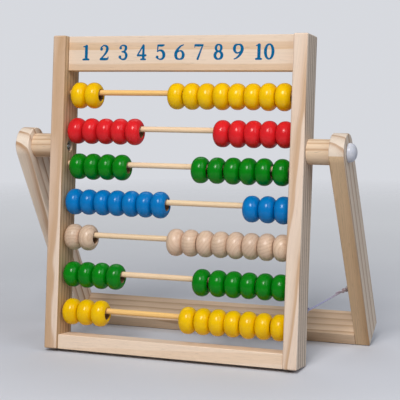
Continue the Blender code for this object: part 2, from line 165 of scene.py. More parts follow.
def soft_light(name, azimuth, elevation, distance, size, power, colour):
    """A rectangular light that faces the object, at an azimuth from the front towards the right."""
    a, e = radians(azimuth), radians(elevation)
    towards = Vector((sin(a) * cos(e), -cos(a) * cos(e), sin(e)))
    data = bpy.data.lights.new(name, "AREA")
    data.shape = "RECTANGLE"
    data.size, data.size_y = size
    data.energy, data.color = power, colour
    made = bpy.data.objects.new(name, data)
    made.location = OBJECT_MIDDLE + towards * distance
    made.rotation_mode = "QUATERNION"
    made.rotation_quaternion = towards.to_track_quat("Z", "Y")
    scene.collection.objects.link(made)


camera()


# ---- materials


class Net:
    """The nodes of a material or world. A value given to a method is a number, a colour or an output."""

    def __init__(self, name, kind="materials", shader="Principled BSDF"):
        self.owner = getattr(bpy.data, kind).new(name)
        self.owner.use_nodes = True
        self.tree = self.owner.node_tree
        self.shader = self.tree.nodes[shader]

    def feed(self, socket, value):
        if isinstance(value, bpy.types.NodeSocket):
            self.tree.links.new(value, socket)
        else:
            socket.default_value = (*value, 1.0) if socket.type == "RGBA" else value

    def node(self, kind, inputs, output=0, **settings):
        """A new node's output. Its inputs are given by their names or numbers."""
        node = self.tree.nodes.new("ShaderNode" + kind)
        for key, value in settings.items():
            setattr(node, key, value)
        for key, value in inputs.items():
            self.feed(node.inputs[key], value)
        return node.outputs[output]

    def math(self, operation, a, b=0.0, c=0.0, clamp=False):
        return self.node("Math", {0: a, 1: b, 2: c}, operation=operation, use_clamp=clamp)

    def times(self, a, b):
        return self.math("MULTIPLY", a, b)

    def split(self, vector):
        return self.node("SeparateXYZ", {0: vector}).node.outputs

    def attribute(self, name, output="Vector"):
        return self.node("Attribute", {}, output, attribute_name=name)

    def noise(self, vector, scale, detail=2.0, roughness=0.5):
        inputs = {"Vector": vector, "Scale": scale, "Detail": detail, "Roughness": roughness}
        return self.node("TexNoise", inputs, "Fac")

    def drawn(self, grain, along, across, detail=2.0, roughness=0.5):
        """Noise drawn out along the grain. Its two scales are per mm."""
        scaled = self.node("VectorMath", {0: grain, 1: (along, across, across)}, operation="MULTIPLY")
        return self.noise(scaled, 1.0, detail, roughness)

    def ramp(self, value, stops):
        """A grey for the value, from (place, level) stops."""
        output = self.node("ValToRGB", {0: value})
        points = output.node.color_ramp.elements
        for place, _ in stops[2:]:
            points.new(place)
        for point, (place, level) in zip(points, stops):
            point.position = place
            point.color = (level, level, level, 1)
        return output

    def mix(self, share, a, b):
        return self.node("Mix", {0: share, 6: a, 7: b}, 2, data_type="RGBA")

    def brighter(self, colour, factor):
        return self.node("VectorMath", {0: colour, "Scale": factor}, operation="SCALE")

    def swing(self, value, size):
        """A noise's value as a factor around 1."""
        return self.math("MULTIPLY_ADD", self.math("SUBTRACT", value, 0.5), size, 1.0)

    def bump(self, height, distance, strength):
        inputs = {"Height": height, "Distance": distance, "Strength": strength}
        self.feed(self.shader.inputs["Normal"], self.node("Bump", inputs))

    def finish(self, colour, roughness, **others):
        self.feed(self.shader.inputs["Base Color"], colour)
        self.feed(self.shader.inputs["Roughness"], roughness)
        for key, value in others.items():
            self.feed(self.shader.inputs[key.replace("_", " ")], value)
        return self.owner

    def mix_with(self, share, other, output):
        """Mixes the shader with another one, before the named output node."""
        mixed = self.node("MixShader", {0: share, 1: self.shader.outputs[0], 2: other})
        self.feed(self.tree.nodes[output].inputs["Surface"], mixed)


# How dark a ring is, from 0 to 1, at places across it.
BROAD_RINGS = [(0.0, 0.0), (0.45, 0.10), (0.76, 0.6), (0.9, 1.0), (0.965, 0.85), (1.0, 0.0)]
WIDE_RINGS = [(0.0, 0.0), (0.60, 0.06), (0.67, 0.80), (0.90, 0.9), (0.965, 1.0), (1.0, 0.0)]
FINE_RINGS = [(0.0, 0.0), (0.40, 0.04), (0.68, 0.30), (0.86, 1.0), (0.955, 0.9), (1.0, 0.0)]


def wood(name, early, late, pink, roughness=0.55, fleck=0.3, bands=BROAD_RINGS, streaks=0.30):
    """Sawn or turned wood. The attribute grain is in mm, along the grain and then across it from the pith."""
    n = Net(name)
    grain = n.attribute("grain")
    pitch, tone, contrast = n.split(n.attribute("rings"))
    _, across, up = n.split(grain)
    wander = n.math("SUBTRACT", n.drawn(grain, 0.012, 0.05), 0.5)
    radius = n.math("SQRT", n.math("MULTIPLY_ADD", across, across, n.times(up, up)))
    radius = n.math("MULTIPLY_ADD", wander, 3.0, radius)
    turns = n.math("DIVIDE", radius, pitch)
    late_share = n.ramp(n.math("FRACT", turns), bands)
    late_share = n.math("MULTIPLY", late_share, contrast, clamp=True)
    fibres = n.drawn(grain, 0.02, 2.0, detail=3, roughness=0.6)
    fine = n.drawn(grain, 0.07, 7.5)
    patches = n.drawn(grain, 0.008, 0.09, detail=1)
    colour = n.mix(late_share, early, late)
    colour = n.mix(n.ramp(patches, [(0.35, 0.0), (0.7, 0.7)]), colour, n.mix(0.5, colour, pink))
    streak = n.drawn(grain, 0.10, 3.6, detail=1)
    streak = n.times(n.ramp(streak, [(0.66, 0.0), (0.78, 1.0)]), fleck)
    light = n.times(n.swing(fibres, streaks), n.swing(fine, 0.20))
    light = n.times(light, n.math("SUBTRACT", 1.0, streak))
    light = n.times(light, tone)
    end = n.attribute("end", "Fac")
    pores = n.drawn(grain, 0.3, 3.0, detail=3, roughness=0.7)
    light = n.times(light, n.math("MULTIPLY_ADD", end, n.math("SUBTRACT", pores, 0.62), 1.0))
    colour = n.brighter(colour, light)
    height = n.math("MULTIPLY_ADD", fibres, 0.7, n.times(fine, 0.4))
    height = n.math("SUBTRACT", height, n.times(late_share, 0.15))
    n.bump(height, 0.00012, 0.5)
    return n.finish(colour, n.times(n.swing(fibres, 0.3), roughness))


def paint(name, colour, deep):
    """Gloss paint over a turned bead, thin enough that the grain shows as faint ripples."""
    n = Net(name)
    grain = n.attribute("grain")
    fibres = n.drawn(grain, 0.10, 1.3, detail=3, roughness=0.6)
    clouds = n.noise(grain, scale=0.12)
    specks = n.noise(grain, scale=1.9, detail=1)
    share = n.ramp(n.math("MULTIPLY_ADD", fibres, 0.5, clouds), [(0.6, 0.0), (0.95, 1.0)])
    share = n.times(share, 0.5)
    shade = n.brighter(n.mix(share, colour, deep), n.swing(fibres, 0.24))
    height = n.math("ADD", fibres, n.times(specks, 0.25))
    n.bump(height, 0.00010, 0.3)
    rough = n.times(n.swing(specks, 0.5), 0.22)
    return n.finish(shade, rough, Specular_IOR_Level=0.27)


def ink():
    n = Net("number_ink")
    place = n.attribute("grain")
    uneven = n.drawn(place, 0.4, 2.2, detail=3, roughness=0.6)
    colour = n.mix(n.ramp(uneven, [(0.3, 0.0), (0.75, 1.0)]), (0.0, 0.105, 0.255), (0.0, 0.135, 0.31))
    n.bump(uneven, 0.00003, 0.4)
    return n.finish(colour, n.times(n.swing(uneven, 0.4), 0.6), Specular_IOR_Level=0.1)


def steel():
    n = Net("plated_steel")
    place = n.attribute("grain")
    brushed = n.drawn(place, 6.0, 1.2, detail=3)
    stain = n.noise(place, scale=0.35, detail=3, roughness=0.65)
    colour = n.mix(n.ramp(stain, [(0.4, 0.0), (0.75, 1.0)]), (0.56, 0.56, 0.57), (0.34, 0.31, 0.28))
    n.bump(brushed, 0.00003, 0.4)
    rough = n.math("MULTIPLY_ADD", stain, 0.3, 0.2)
    return n.finish(colour, rough, Metallic=1.0)


def cap_plastic():
    n = Net("cap_plastic")
    place = n.attribute("grain")
    cloud = n.noise(place, scale=0.22)
    skin = n.noise(place, scale=3.0)
    colour = n.mix(cloud, (0.50, 0.51, 0.58), (0.58, 0.59, 0.65))
    n.bump(skin, 0.00003, 0.35)
    rough = n.times(n.swing(skin, 0.3), 0.36)
    spread = (0.002, 0.002, 0.0025)
    return n.finish(colour, rough, Subsurface_Weight=0.25, Subsurface_Radius=spread, Subsurface_Scale=1.0)


def cord_fibre():
    """Twisted yarn. The attribute grain is in mm, along the cord and then across it."""
    n = Net("cord_fibre")
    grain = n.attribute("grain")
    along = n.split(grain)[0]
    yarn = n.drawn(grain, 0.9, 4.5, detail=3, roughness=0.65)
    fluff = n.noise(grain, scale=6.0)
    worn = n.ramp(n.math("DIVIDE", along, 60.0), [(0.45, 0.0), (0.85, 1.0)])
    colour = n.mix(worn, (0.33, 0.33, 0.52), (0.36, 0.27, 0.30))
    light = n.times(n.swing(yarn, 0.9), n.swing(fluff, 0.3))
    n.bump(n.math("ADD", yarn, n.times(fluff, 0.4)), 0.00015, 0.7)
    return n.finish(n.brighter(colour, light), 0.85, Sheen_Weight=0.4, Sheen_Roughness=0.5)


# Each wood's early, late and pinkish colours.
PINE = wood("pine", (0.80, 0.635, 0.51), (0.56, 0.35, 0.20), (0.80, 0.58, 0.45), bands=FINE_RINGS)
# Pine for the posts' outer faces: its dark late rings are the tight edge grain, and its greyer, darker tone
# is painted shade.
SIDE_PINE_AND_SHADE = wood(
    "side_pine_and_shade", (0.76, 0.64, 0.53), (0.27, 0.165, 0.105), (0.68, 0.53, 0.42), fleck=0.7, bands=FINE_RINGS
)
# A darker, redder pine for the left post's inner face: painted shade on a face turned away from the key
# light.
SHADED_INNER_PINE = wood(
    "shaded_inner_pine", (0.64, 0.45, 0.27), (0.32, 0.18, 0.09), (0.58, 0.39, 0.21), fleck=0.5, streaks=0.45
)
RAIL_PINE = wood("rail_pine", (0.79, 0.62, 0.48), (0.66, 0.425, 0.24), (0.79, 0.60, 0.47), bands=WIDE_RINGS)
LEG_PINE = wood(
    "leg_pine", (0.80, 0.67, 0.55), (0.44, 0.25, 0.13), (0.78, 0.63, 0.51), fleck=0.4, bands=FINE_RINGS
)
# Darker, browner pine for the right leg's front: partly its darker face grain, partly painted shade on a face
# that looks down and lies behind the frame.
LEG_FRONT_AND_SHADE = wood(
    "leg_front_pine_and_shade", (0.66, 0.46, 0.28), (0.38, 0.20, 0.085), (0.60, 0.39, 0.22), fleck=0.5, streaks=0.55
)
# Darker, browner pine for the crossbar: painted shade, since it lies behind the frame.
SHADED_BAR_PINE = wood(
    "shaded_crossbar_pine", (0.74, 0.55, 0.385), (0.42, 0.24, 0.12), (0.70, 0.49, 0.33), fleck=0.4, streaks=0.4
)
SPACER_WOOD = wood(
    "spacer_wood", (0.76, 0.57, 0.39), (0.44, 0.24, 0.11), (0.74, 0.51, 0.36), fleck=0.6, bands=FINE_RINGS
)
BEECH = wood("dowel_beech", (0.70, 0.50, 0.33), (0.58, 0.38, 0.22), (0.70, 0.46, 0.32))
ROD_WOOD = wood("rod_wood", (0.94, 0.58, 0.20), (0.72, 0.37, 0.09), (0.92, 0.56, 0.24), roughness=0.42)
PALE_ROD_WOOD = wood(
    "pale_rod_wood", (0.88, 0.66, 0.42), (0.74, 0.47, 0.25), (0.90, 0.64, 0.48), roughness=0.45
)
BARE_BEAD = wood(
    "bead_bare_wood", (0.74, 0.54, 0.39), (0.50, 0.31, 0.19), (0.72, 0.48, 0.36), roughness=0.34, fleck=0.5
)
# The bare wood inside a bead's bore, painted far darker than a bare bead as shade deep in the hole.
BORE_WOOD_AND_SHADE = wood(
    "bead_bore_wood_and_shade", (0.30, 0.17, 0.08), (0.20, 0.10, 0.045), (0.30, 0.17, 0.10), roughness=0.7
)
PAINTS = {
    "yellow": paint("bead_yellow_paint", (0.91, 0.555, 0.0), (0.76, 0.41, 0.0)),
    "red": paint("bead_red_paint", (0.76, 0.017, 0.022), (0.54, 0.009, 0.015)),
    "green": paint("bead_green_paint", (0.0, 0.22, 0.004), (0.0, 0.14, 0.006)),
    "blue": paint("bead_blue_paint", (0.0, 0.19, 0.53), (0.0, 0.135, 0.41)),
    "natural": BARE_BEAD,
}
INK, STEEL, PLASTIC, CORD = ink(), steel(), cap_plastic(), cord_fibre()


# ---- building pieces


def keep_grain(mesh, place, axis, pith=(0.0, 0.0, 0.0), start=0.0, rings=(4.0, 1.0, 0.6)):
    """Stores where each point is in the grain, in mm: along the axis, then across from the pith.

    The pith is its two coordinates at 0 along the axis, and how far it drifts across for each mm along.
    The rings are their pitch in mm, the wood's brightness and their contrast.
    """
    back = place.inverted()
    order = {"x": (0, 1, 2), "z": (2, 0, 1)}[axis]
    values = []
    for v in mesh.vertices:
        own = (back @ v.co) * 1000
        along = own[order[0]]
        values += [along + start, own[order[1]] - pith[0] - pith[2] * along, own[order[2]] - pith[1]]
    mesh.attributes.new("grain", "FLOAT_VECTOR", "POINT").data.foreach_set("vector", values)
    spec = mesh.attributes.new("rings", "FLOAT_VECTOR", "POINT")
    spec.data.foreach_set("vector", list(rings) * len(mesh.vertices))
    direction = place.to_3x3() @ Vector([1.0 if i == order[0] else 0.0 for i in range(3)])
    ends = [abs(f.normal.dot(direction)) ** 4 for f in mesh.polygons]
    mesh.attributes.new("end", "FLOAT", "FACE").data.foreach_set("value", ends)


def shaped(name, build, place=None):
    """The mesh of what build(bm) adds, moved to place."""
    bm = bmesh.new()
    build(bm)
    bmesh.ops.recalc_face_normals(bm, faces=bm.faces)
    mesh = bpy.data.meshes.new(name)
    bm.to_mesh(mesh)
    bm.free()
    if place:
        mesh.transform(place)
    return mesh


def settle(name, mesh, look, body, replaces=(), smooth=35, weighted=True):
    """Makes a piece of a finished mesh, which rides on its body and stands for its CAD nodes."""
    mesh.shade_smooth()
    mesh.set_sharp_from_angle(angle=radians(smooth))
    mesh.materials.append(look)
    made = bpy.data.objects.new(name, mesh)
    scene.collection.objects.link(made)
    if weighted:
        made.modifiers.new("flat_faces", "WEIGHTED_NORMAL").keep_sharp = True
    if body:
        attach(made, body)
    if replaces:
        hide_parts(*replaces)
    return made


def rounded(bm, edges, radius, steps=3):
    bmesh.ops.bevel(bm, geom=edges, offset=radius, segments=steps, profile=0.5, affect="EDGES")


def block(bm, low, high, radius, steps=3):
    """A box with rounded edges."""
    size = Matrix.Diagonal((*(high - low), 1))
    bmesh.ops.create_cube(bm, size=1, matrix=Matrix.Translation((high + low) / 2) @ size)
    rounded(bm, bm.edges[:], radius, steps)


def skin(bm, rings, closed):
    """Joins rings of vertices with faces, and back to the first ring or with a cap at each end."""
    pairs = list(zip(rings, rings[1:]))
    if closed:
        pairs.append((rings[-1], rings[0]))
    else:
        bm.faces.new(rings[0])
        bm.faces.new(rings[-1])
    for first, second in pairs:
        for i in range(len(first)):
            k = (i + 1) % len(first)
            bm.faces.new((first[i], first[k], second[k], second[i]))


def turned(bm, profile, sides, centre=(0, 0, 0), ring=False, turn=Matrix.Identity(3), shape=None):
    """Revolves (along, radius) points about X. shape(along, radius, angle) may give another radius."""
    rings = []
    for along, radius in profile:
        row = []
        for i in range(sides):
            a = 2 * pi * i / sides
            r = shape(along, radius, a) if shape else radius
            row.append(bm.verts.new(turn @ Vector((along, r * cos(a), r * sin(a))) + Vector(centre)))
        rings.append(row)
    skin(bm, rings, ring)


def alike_ends(start, stop, end):
    """A profile from start to stop, with the same (inwards, radius) points at each end."""
    way = 1 if start < stop else -1
    return [(start + way * x, r) for x, r in end] + [(stop - way * x, r) for x, r in end[::-1]]


def evaluated(made):
    """The mesh that an object's modifiers or curve give."""
    bpy.context.view_layer.update()
    return bpy.data.meshes.new_from_object(made.evaluated_get(bpy.context.evaluated_depsgraph_get()))


def drilled(mesh, cutter):
    """The mesh with the solids that cutter(bm) adds cut out of it."""
    tool = bpy.data.objects.new("tool", shaped("tool", cutter))
    work = bpy.data.objects.new("work", mesh)
    for item in (tool, work):
        scene.collection.objects.link(item)
    cut = work.modifiers.new("cut", "BOOLEAN")
    cut.operation, cut.solver, cut.object = "DIFFERENCE", "EXACT", tool
    result = evaluated(work)
    for item in (tool, work):
        bpy.data.objects.remove(item, do_unlink=True)
    return result


def hole(bm, start, end, radius, centre, lip=LIP, sides=24, turn=Matrix.Identity(3)):
    """A round cutter from outside a face at start to end, with a slightly eased mouth."""
    out = 1 if start > end else -1
    mouth = [(start + out * PAST_FACE, radius + lip), (start, radius + lip)]
    turned(bm, [*mouth, (start - out * lip, radius), (end, radius)], sides, centre, turn=turn)


STRANDS = 3
STRAND_DEPTH = 0.13  # of the tube's radius


def tube(bm, points, radius, sides, closed=False, twist=None, taper=(1.0, 1.0)):
    """A tube along points. It may be twisted, one turn in that length, and thinner at its start or end."""
    count = len(points)
    normal = None
    rings, far = [], 0.0
    for i, point in enumerate(points):
        if closed:
            tangent = points[(i + 1) % count] - points[i - 1]
        else:
            tangent = points[min(i + 1, count - 1)] - points[max(i - 1, 0)]
        tangent.normalize()
        if normal is None:
            normal = tangent.orthogonal().normalized()
        normal = (normal - tangent * normal.dot(tangent)).normalized()
        side = tangent.cross(normal)
        if i:
            far += (point - points[i - 1]).length
        factor = min(1.0, taper[0] + i / 4, taper[1] + (count - 1 - i) / 4)
        row = []
        for k in range(sides):
            a = 2 * pi * k / sides
            r = radius * factor
            if twist:
                r *= 1 - STRAND_DEPTH * (0.5 + 0.5 * cos(STRANDS * a - 2 * pi * far / twist))
            row.append(bm.verts.new(point + normal * (r * cos(a)) + side * (r * sin(a))))
        rings.append(row)
    skin(bm, rings, closed)


# ---- the cord and its screw eyes

# Where the two screw eyes enter the wood, the centres of their rings, and the rings' planes' normals.
POST_EYE = Vector((middle("right_post", FRAME).x, 0, POST_EYE_HEIGHT))
LEG_EYE = Vector((own_box("right_leg", STAND)[0].x, 0, -LEG_EYE_DOWN))
POST_RING = FRAME @ (POST_EYE + Vector((0, POST_EYE_REACH, 0)))
LEG_RING = STAND @ (LEG_EYE - Vector((LEG_EYE_REACH, 0, 0)))
POST_NORMAL = FRAME.to_3x3() @ Vector((1, 0, 0))
LEG_NORMAL = STAND.to_3x3() @ Vector((0, 0, 1))
CORD_WAY = (LEG_RING - POST_RING).normalized()
CORD_CLEAR = EYE_RING + EYE_WIRE + GAP
CORD_START = POST_RING + CORD_WAY * CORD_CLEAR
CORD_END = LEG_RING - CORD_WAY * CORD_CLEAR
# X along the cord, for the grain of its pieces.
CORD_PLACE = Matrix.Translation(CORD_START) @ CORD_WAY.to_track_quat("X", "Z").to_matrix().to_4x4()


def cord_piece(name, points, thick, sides, body=None, **options):
    """A twisted tube, thick times as thick as the cord."""
    radius = CORD_RADIUS * thick
    mesh = shaped(name, lambda bm: tube(bm, points, radius, sides, **options))
    keep_grain(mesh, CORD_PLACE, "x")
    return settle(name, mesh, CORD, body, smooth=80, weighted=False)


RING_STEPS = 46
CORD_STEPS = 150
TAIL_STEPS = 40
KNOT_SIZE = 0.00042
KNOT_DEPTH = 0.00075
# Each end's side, ring, its plane's normal, the way along the cord, its body, how far along its knot is,
# and its tail's length.
CORD_ENDS = (
    ("post", POST_RING, POST_NORMAL, CORD_WAY, "frame", 0.0013, 0.0055),
    ("leg", LEG_RING, LEG_NORMAL, -CORD_WAY, "stand", 0.0034, 0.0100),
)


def build_cord():
    """The cord, the loop that ties each end round its ring's wire, the knots and the doubled tails."""
    path = [CORD_START.lerp(CORD_END, i / CORD_STEPS) for i in range(CORD_STEPS + 1)]
    cord = cord_piece("cord_line", path, 1, 18, twist=0.0042)
    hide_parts("limiter_cord")
    for side, ring, normal, way, body, tied, tail_length in CORD_ENDS:
        in_plane = (way - normal * way.dot(normal)).normalized()
        wire = ring + in_plane * EYE_RING
        reach = EYE_WIRE + CORD_RADIUS + 0.0001
        loop = []
        for a in np.linspace(0, 2 * pi, 28, endpoint=False):
            loop.append(wire + (in_plane * cos(a) + normal * sin(a)) * reach)
        cord_piece(f"cord_{side}_loop", loop, 0.92, 14, body, closed=True, twist=0.0022)
        across = way.orthogonal().normalized()
        up = way.cross(across)
        knot_at = ring + way * (CORD_CLEAR + tied)
        knot = []
        for t in np.linspace(0, 2 * pi, 72, endpoint=False):
            a = (sin(t) + 2 * sin(2 * t)) * KNOT_SIZE
            b = (cos(t) - 2 * cos(2 * t)) * KNOT_SIZE
            knot.append(knot_at + across * a + up * b - way * (sin(3 * t) * KNOT_DEPTH))
        knot_piece = cord_piece(f"cord_{side}_knot", knot, 0.86, 12, closed=True, twist=0.003)
        tail = []
        for i in range(TAIL_STEPS + 1):
            s = i / TAIL_STEPS
            turn = 1.5 * pi * s + 0.6
            off = CORD_RADIUS * (1.6 + max(0.0, s - 0.85))  # it leaves the cord near its end
            along = way * (CORD_CLEAR + tied + tail_length * s)
            tail.append(ring + along + (across * cos(turn) + up * sin(turn)) * off)
        tail_piece = cord_piece(f"cord_{side}_tail", tail, 0.88, 12, twist=0.003, taper=(1.0, 0.5))
        for item in (knot_piece, tail_piece):
            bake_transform(item)
    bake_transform(cord)


def build_eye(name, node, body, place, foot, reach, turn):
    """A screw eye bent from one wire: a threaded shank, and a ring that closes on itself."""
    ring = []
    for i in range(RING_STEPS + 1):
        a = pi * 1.10 + pi * 1.84 * i / RING_STEPS
        ring.append(Vector((-reach, 0, 0)) + Vector((cos(a), 0, sin(a))) * EYE_RING)
    neck = Vector((-reach + EYE_RING * 1.25, 0, 0))
    shank = [Vector((x, 0, 0)) for x in np.linspace(-0.0004, neck.x, 6)]
    lead = [neck.lerp(ring[0], share) for share in (0.35, 0.7)]
    points = [foot + turn @ p for p in [*shank, *lead, *ring]]
    profile = [(x, EYE_WIRE) for x in [-0.0004, *np.linspace(0.0002, EYE_IN_WOOD - 0.0008, 60)]]
    profile += [(EYE_IN_WOOD - 0.0003, EYE_WIRE * 0.55), (EYE_IN_WOOD, EYE_WIRE * 0.12)]

    def thread(along, radius, a):
        if along <= 0.0003:
            return radius
        wave = (along / THREAD_PITCH + a / (2 * pi)) % 1.0
        return radius * (0.84 + 0.28 * max(0.0, 1 - abs(wave - 0.5) * 3.2))

    def wire(bm):
        tube(bm, points, EYE_WIRE, 14, taper=(1.0, 0.75))
        turned(bm, profile, 16, foot, turn=turn, shape=thread)

    mesh = shaped(name, wire, place)
    keep_grain(mesh, place, "x")
    settle(name, mesh, STEEL, body, [node], 50, False)


build_cord()
OUT_OF_POST = Matrix.Rotation(-pi / 2, 3, "Z")
LYING = Matrix.Rotation(pi / 2, 3, "X")
build_eye("post_eye_wire", "post_cord_eye", "frame", FRAME, POST_EYE, POST_EYE_REACH, OUT_OF_POST)
build_eye("leg_eye_wire", "leg_cord_eye", "stand", STAND, LEG_EYE, LEG_EYE_REACH, LYING)


# ---- the wooden frame and stand

INNER, OUTER = (corner.x for corner in own_box("right_post", FRAME))
PIVOT = FRAME.inverted() @ pivot
ROD_PLACES = [middle(f"rod_{row + 1}", FRAME) for row in range(len(ROWS))]
# Each piece's pith, where along the grain it starts, and its rings' pitch, tone and contrast.
GRAIN = {
    "left_post": ((-112.0, 70.0, 0.02), 300.0, (4.6, 1.0, 1.0)),
    "right_post": ((66.0, 40.6, 0.10), 900.0, (4.6, 1.0, 1.0)),
    "top_rail": ((-14.0, 633.4, 0.0), 1500.0, (16.5, 1.0, 0.85)),
    "bottom_rail": ((-150.0, -60.0, 0.03), 2100.0, (11.0, 1.08, 0.35)),
    "crossbar": ((-260.0, -120.0, 0.02), 2700.0, (7.2, 1.0, 0.8)),
    "left_leg": ((-150.0, -72.0, 0.03), 3300.0, (8.0, 1.15, 1.0)),
    "right_leg": ((104.0, -75.0, 0.03), 3900.0, (8.0, 1.0, 1.0)),
    "left_spacer": ((14.0, 190.0, 0.02), 4500.0, (3.4, 1.0, 0.85)),
    "right_spacer": ((22.0, 184.0, 0.02), 5100.0, (3.4, 1.0, 0.85)),
}
FACING = 0.7  # how much of a face's normal points a way for the face to count as facing it


def other_faces(piece, place, look, wanted):
    """Gives look to the faces that wanted(normal, centre) picks, in the coordinates of place."""
    piece.data.materials.append(look)
    back = place.inverted()
    for face in piece.data.polygons:
        if wanted(back.to_3x3() @ face.normal, back @ face.center):
            face.material_index = len(piece.data.materials) - 1


def wooden(node, kind, body, build, cutter, axis, look=PINE):
    place = PLACES[body]
    name = f"{node}_{kind}"
    mesh = shaped(name, build)
    if cutter:
        mesh = drilled(mesh, cutter)
    mesh.transform(place)
    keep_grain(mesh, place, axis, *GRAIN[node])
    return settle(name, mesh, look, body, [node])


def dowel_sockets(bm, joint, body, start, way, depth):
    """Cutters for the dowels of a joint, from the face at start."""
    for node in sorted(frame["nodes"]):
        if node.startswith(joint + "_dowel"):
            centre = middle(node, PLACES[body])
            hole(bm, start, start + way * depth, DOWEL_RADIUS + TIGHT, (0, centre.y, centre.z))


def build_post(side, out):
    low, high = own_box(side + "_post", FRAME)
    inner = out * INNER

    def holes(bm):
        for rod in ROD_PLACES:
            hole(bm, inner, inner + out * ROD_SOCKET, ROD_RADIUS + TIGHT, (0, rod.y, rod.z), ROD_LIP, 32)
        for rail in ("top", "bottom"):
            dowel_sockets(bm, f"{rail}_{side}", "frame", inner, out, DOWEL_IN_POST)
        step = inner + out * RECESS_DEPTH
        mouth = [(inner - out * PAST_FACE, RECESS_RADIUS + LIP), (inner, RECESS_RADIUS + LIP)]
        recess = [(inner + out * LIP, RECESS_RADIUS), (step, RECESS_RADIUS)]
        bore = [(step, BOLT_HOLE), (out * (OUTER + PAST_FACE), BOLT_HOLE)]
        turned(bm, mouth + recess + bore, 40, (0, PIVOT.y, PIVOT.z))
        if side == "right":
            inwards = Matrix.Rotation(pi / 2, 3, "Z")
            hole(bm, 0, -EYE_IN_WOOD - GAP, EYE_HOLE, POST_EYE, EYE_LIP, 16, inwards)

    post = wooden(side + "_post", "wood", "frame", lambda bm: block(bm, low, high, POST_EDGE, 4), holes, "z")
    # The outer faces get the pine with painted shade on them.
    other_faces(post, FRAME, SIDE_PINE_AND_SHADE, lambda normal, centre: normal.x * out > FACING)
    # The left post's inner face gets painted shade.
    if side == "left":
        other_faces(post, FRAME, SHADED_INNER_PINE, lambda normal, centre: normal.x > FACING)


def build_rail(node, joint, body, look, edge):
    low, high = own_box(node, PLACES[body])
    wide = Vector((JOINT_FILL, 0, 0))

    def holes(bm):
        for side, out in SIDES.items():
            dowel_sockets(bm, f"{joint}_{side}", body, out * high.x, -out, DOWEL_IN_RAIL)

    wooden(node, "board", body, lambda bm: block(bm, low - wide, high + wide, edge), holes, "x", look)


def build_leg(side, out):
    low, high = own_box(side + "_leg", STAND)
    half = (high.y - low.y) / 2

    def board(bm):
        turns = [pi * i / LEG_STEPS for i in range(LEG_STEPS + 1)]
        outline = [(half * cos(a), half * sin(a)) for a in turns] + [(-half, low.z), (half, low.z)]
        face = bm.faces.new([bm.verts.new((low.x, y, z)) for y, z in outline])
        moved = bmesh.ops.extrude_face_region(bm, geom=[face])["geom"]
        corners = [v for v in moved if isinstance(v, bmesh.types.BMVert)]
        bmesh.ops.translate(bm, verts=corners, vec=(high.x - low.x, 0, 0))
        bmesh.ops.recalc_face_normals(bm, faces=bm.faces)
        rounded(bm, [e for e in bm.edges if e.calc_face_angle() > radians(30)], LEG_EDGE)

    def holes(bm):
        near, far = (low.x, high.x) if out > 0 else (high.x, low.x)
        turned(bm, [(near - out * PAST_FACE, BOLT_HOLE), (far + out * PAST_FACE, BOLT_HOLE)], 32)
        dowel_sockets(bm, "crossbar_" + side, "stand", near, out, DOWEL_IN_POST)
        if side == "right":
            hole(bm, near, near + EYE_IN_WOOD + GAP, EYE_HOLE, (0, 0, LEG_EYE.z), EYE_LIP, 16)

    def front(normal, centre):
        """The front face, up onto the start of the round end, which gets darker face-grain wood with painted
        shade.
        """
        return normal.y < -0.6 and centre.z < 0.0052 and centre.y < -half * 0.85

    leg = wooden(side + "_leg", "wood", "stand", board, holes, "z", LEG_PINE)
    # Only the right leg's front gets the painted shade.
    if side == "right":
        other_faces(leg, STAND, LEG_FRONT_AND_SHADE, front)


def build_spacer(side):
    low, high = own_box(side + "_spacer", FRAME)
    radius, ease = SPACER_RADIUS, 0.0004
    end = [(0, BOLT_HOLE), (0, radius - ease), (ease * 0.3, radius - ease * 0.3), (ease, radius)]
    profile = alike_ends(low.x - JOINT_FILL, high.x + JOINT_FILL, end)

    def roller(bm):
        turned(bm, profile, 56, (0, PIVOT.y, PIVOT.z), ring=True)

    wooden(side + "_spacer", "wood", "frame", roller, None, "x", SPACER_WOOD)


def build_dowel(node):
    """A fluted glue dowel with chamfered ends."""
    body = "stand" if node.startswith("crossbar") else "frame"
    low, high = own_box(node, PLACES[body])
    centre = (low + high) / 2
    profile = alike_ends(low.x, high.x, [(0, DOWEL_RADIUS - 0.0005), (0.0006, DOWEL_RADIUS)])

    def fluted(along, radius, a):
        return radius * (1 - 0.035 * (0.5 + 0.5 * cos(12 * a)) ** 3)

    name = node + "_beech"
    mesh = shaped(
        name, lambda bm: turned(bm, profile, 72, (0, centre.y, centre.z), shape=fluted), PLACES[body]
    )
    pith = (centre.y * 1000 + 20, centre.z * 1000 - 12, 0.0)
    keep_grain(mesh, PLACES[body], "x", pith, high.x * 7000, (2.4, 1.0, 0.5))
    settle(name, mesh, BEECH, body, [node])


def build_rods():
    draw = random.Random(11)
    for row, (colour, *_) in enumerate(ROWS):
        node = f"rod_{row + 1}"
        low, high = own_box(node, FRAME)
        centre = ROD_PLACES[row]
        phase, sway = draw.uniform(0, 6), draw.uniform(0.00003, 0.00006)
        ease = 0.0003
        spots = np.linspace(low.x + 0.006, high.x - 0.006, 60)
        profile = [(low.x, ROD_RADIUS - ease), (low.x + ease, ROD_RADIUS), *[(x, ROD_RADIUS) for x in spots]]
        profile += [(high.x - ease, ROD_RADIUS), (high.x, ROD_RADIUS - ease)]

        def uneven(along, radius, a):
            squeeze = 0.012 * (0.5 + 0.5 * cos(2 * a + phase))
            return radius * (1 - squeeze) - sway * (0.5 + 0.5 * sin(along * 90 + phase))

        name = node + "_wood"
        mesh = shaped(name, lambda bm: turned(bm, profile, 32, (0, centre.y, centre.z), shape=uneven), FRAME)
        pith = (centre.y * 1000 + draw.uniform(-9, 9), centre.z * 1000 - draw.uniform(5, 14), 0.01)
        keep_grain(mesh, FRAME, "x", pith, 600.0 * row, (1.3, 1.0, 0.45))
        look = ROD_WOOD if colour == "yellow" else PALE_ROD_WOOD
        settle(name, mesh, look, "frame", [node])


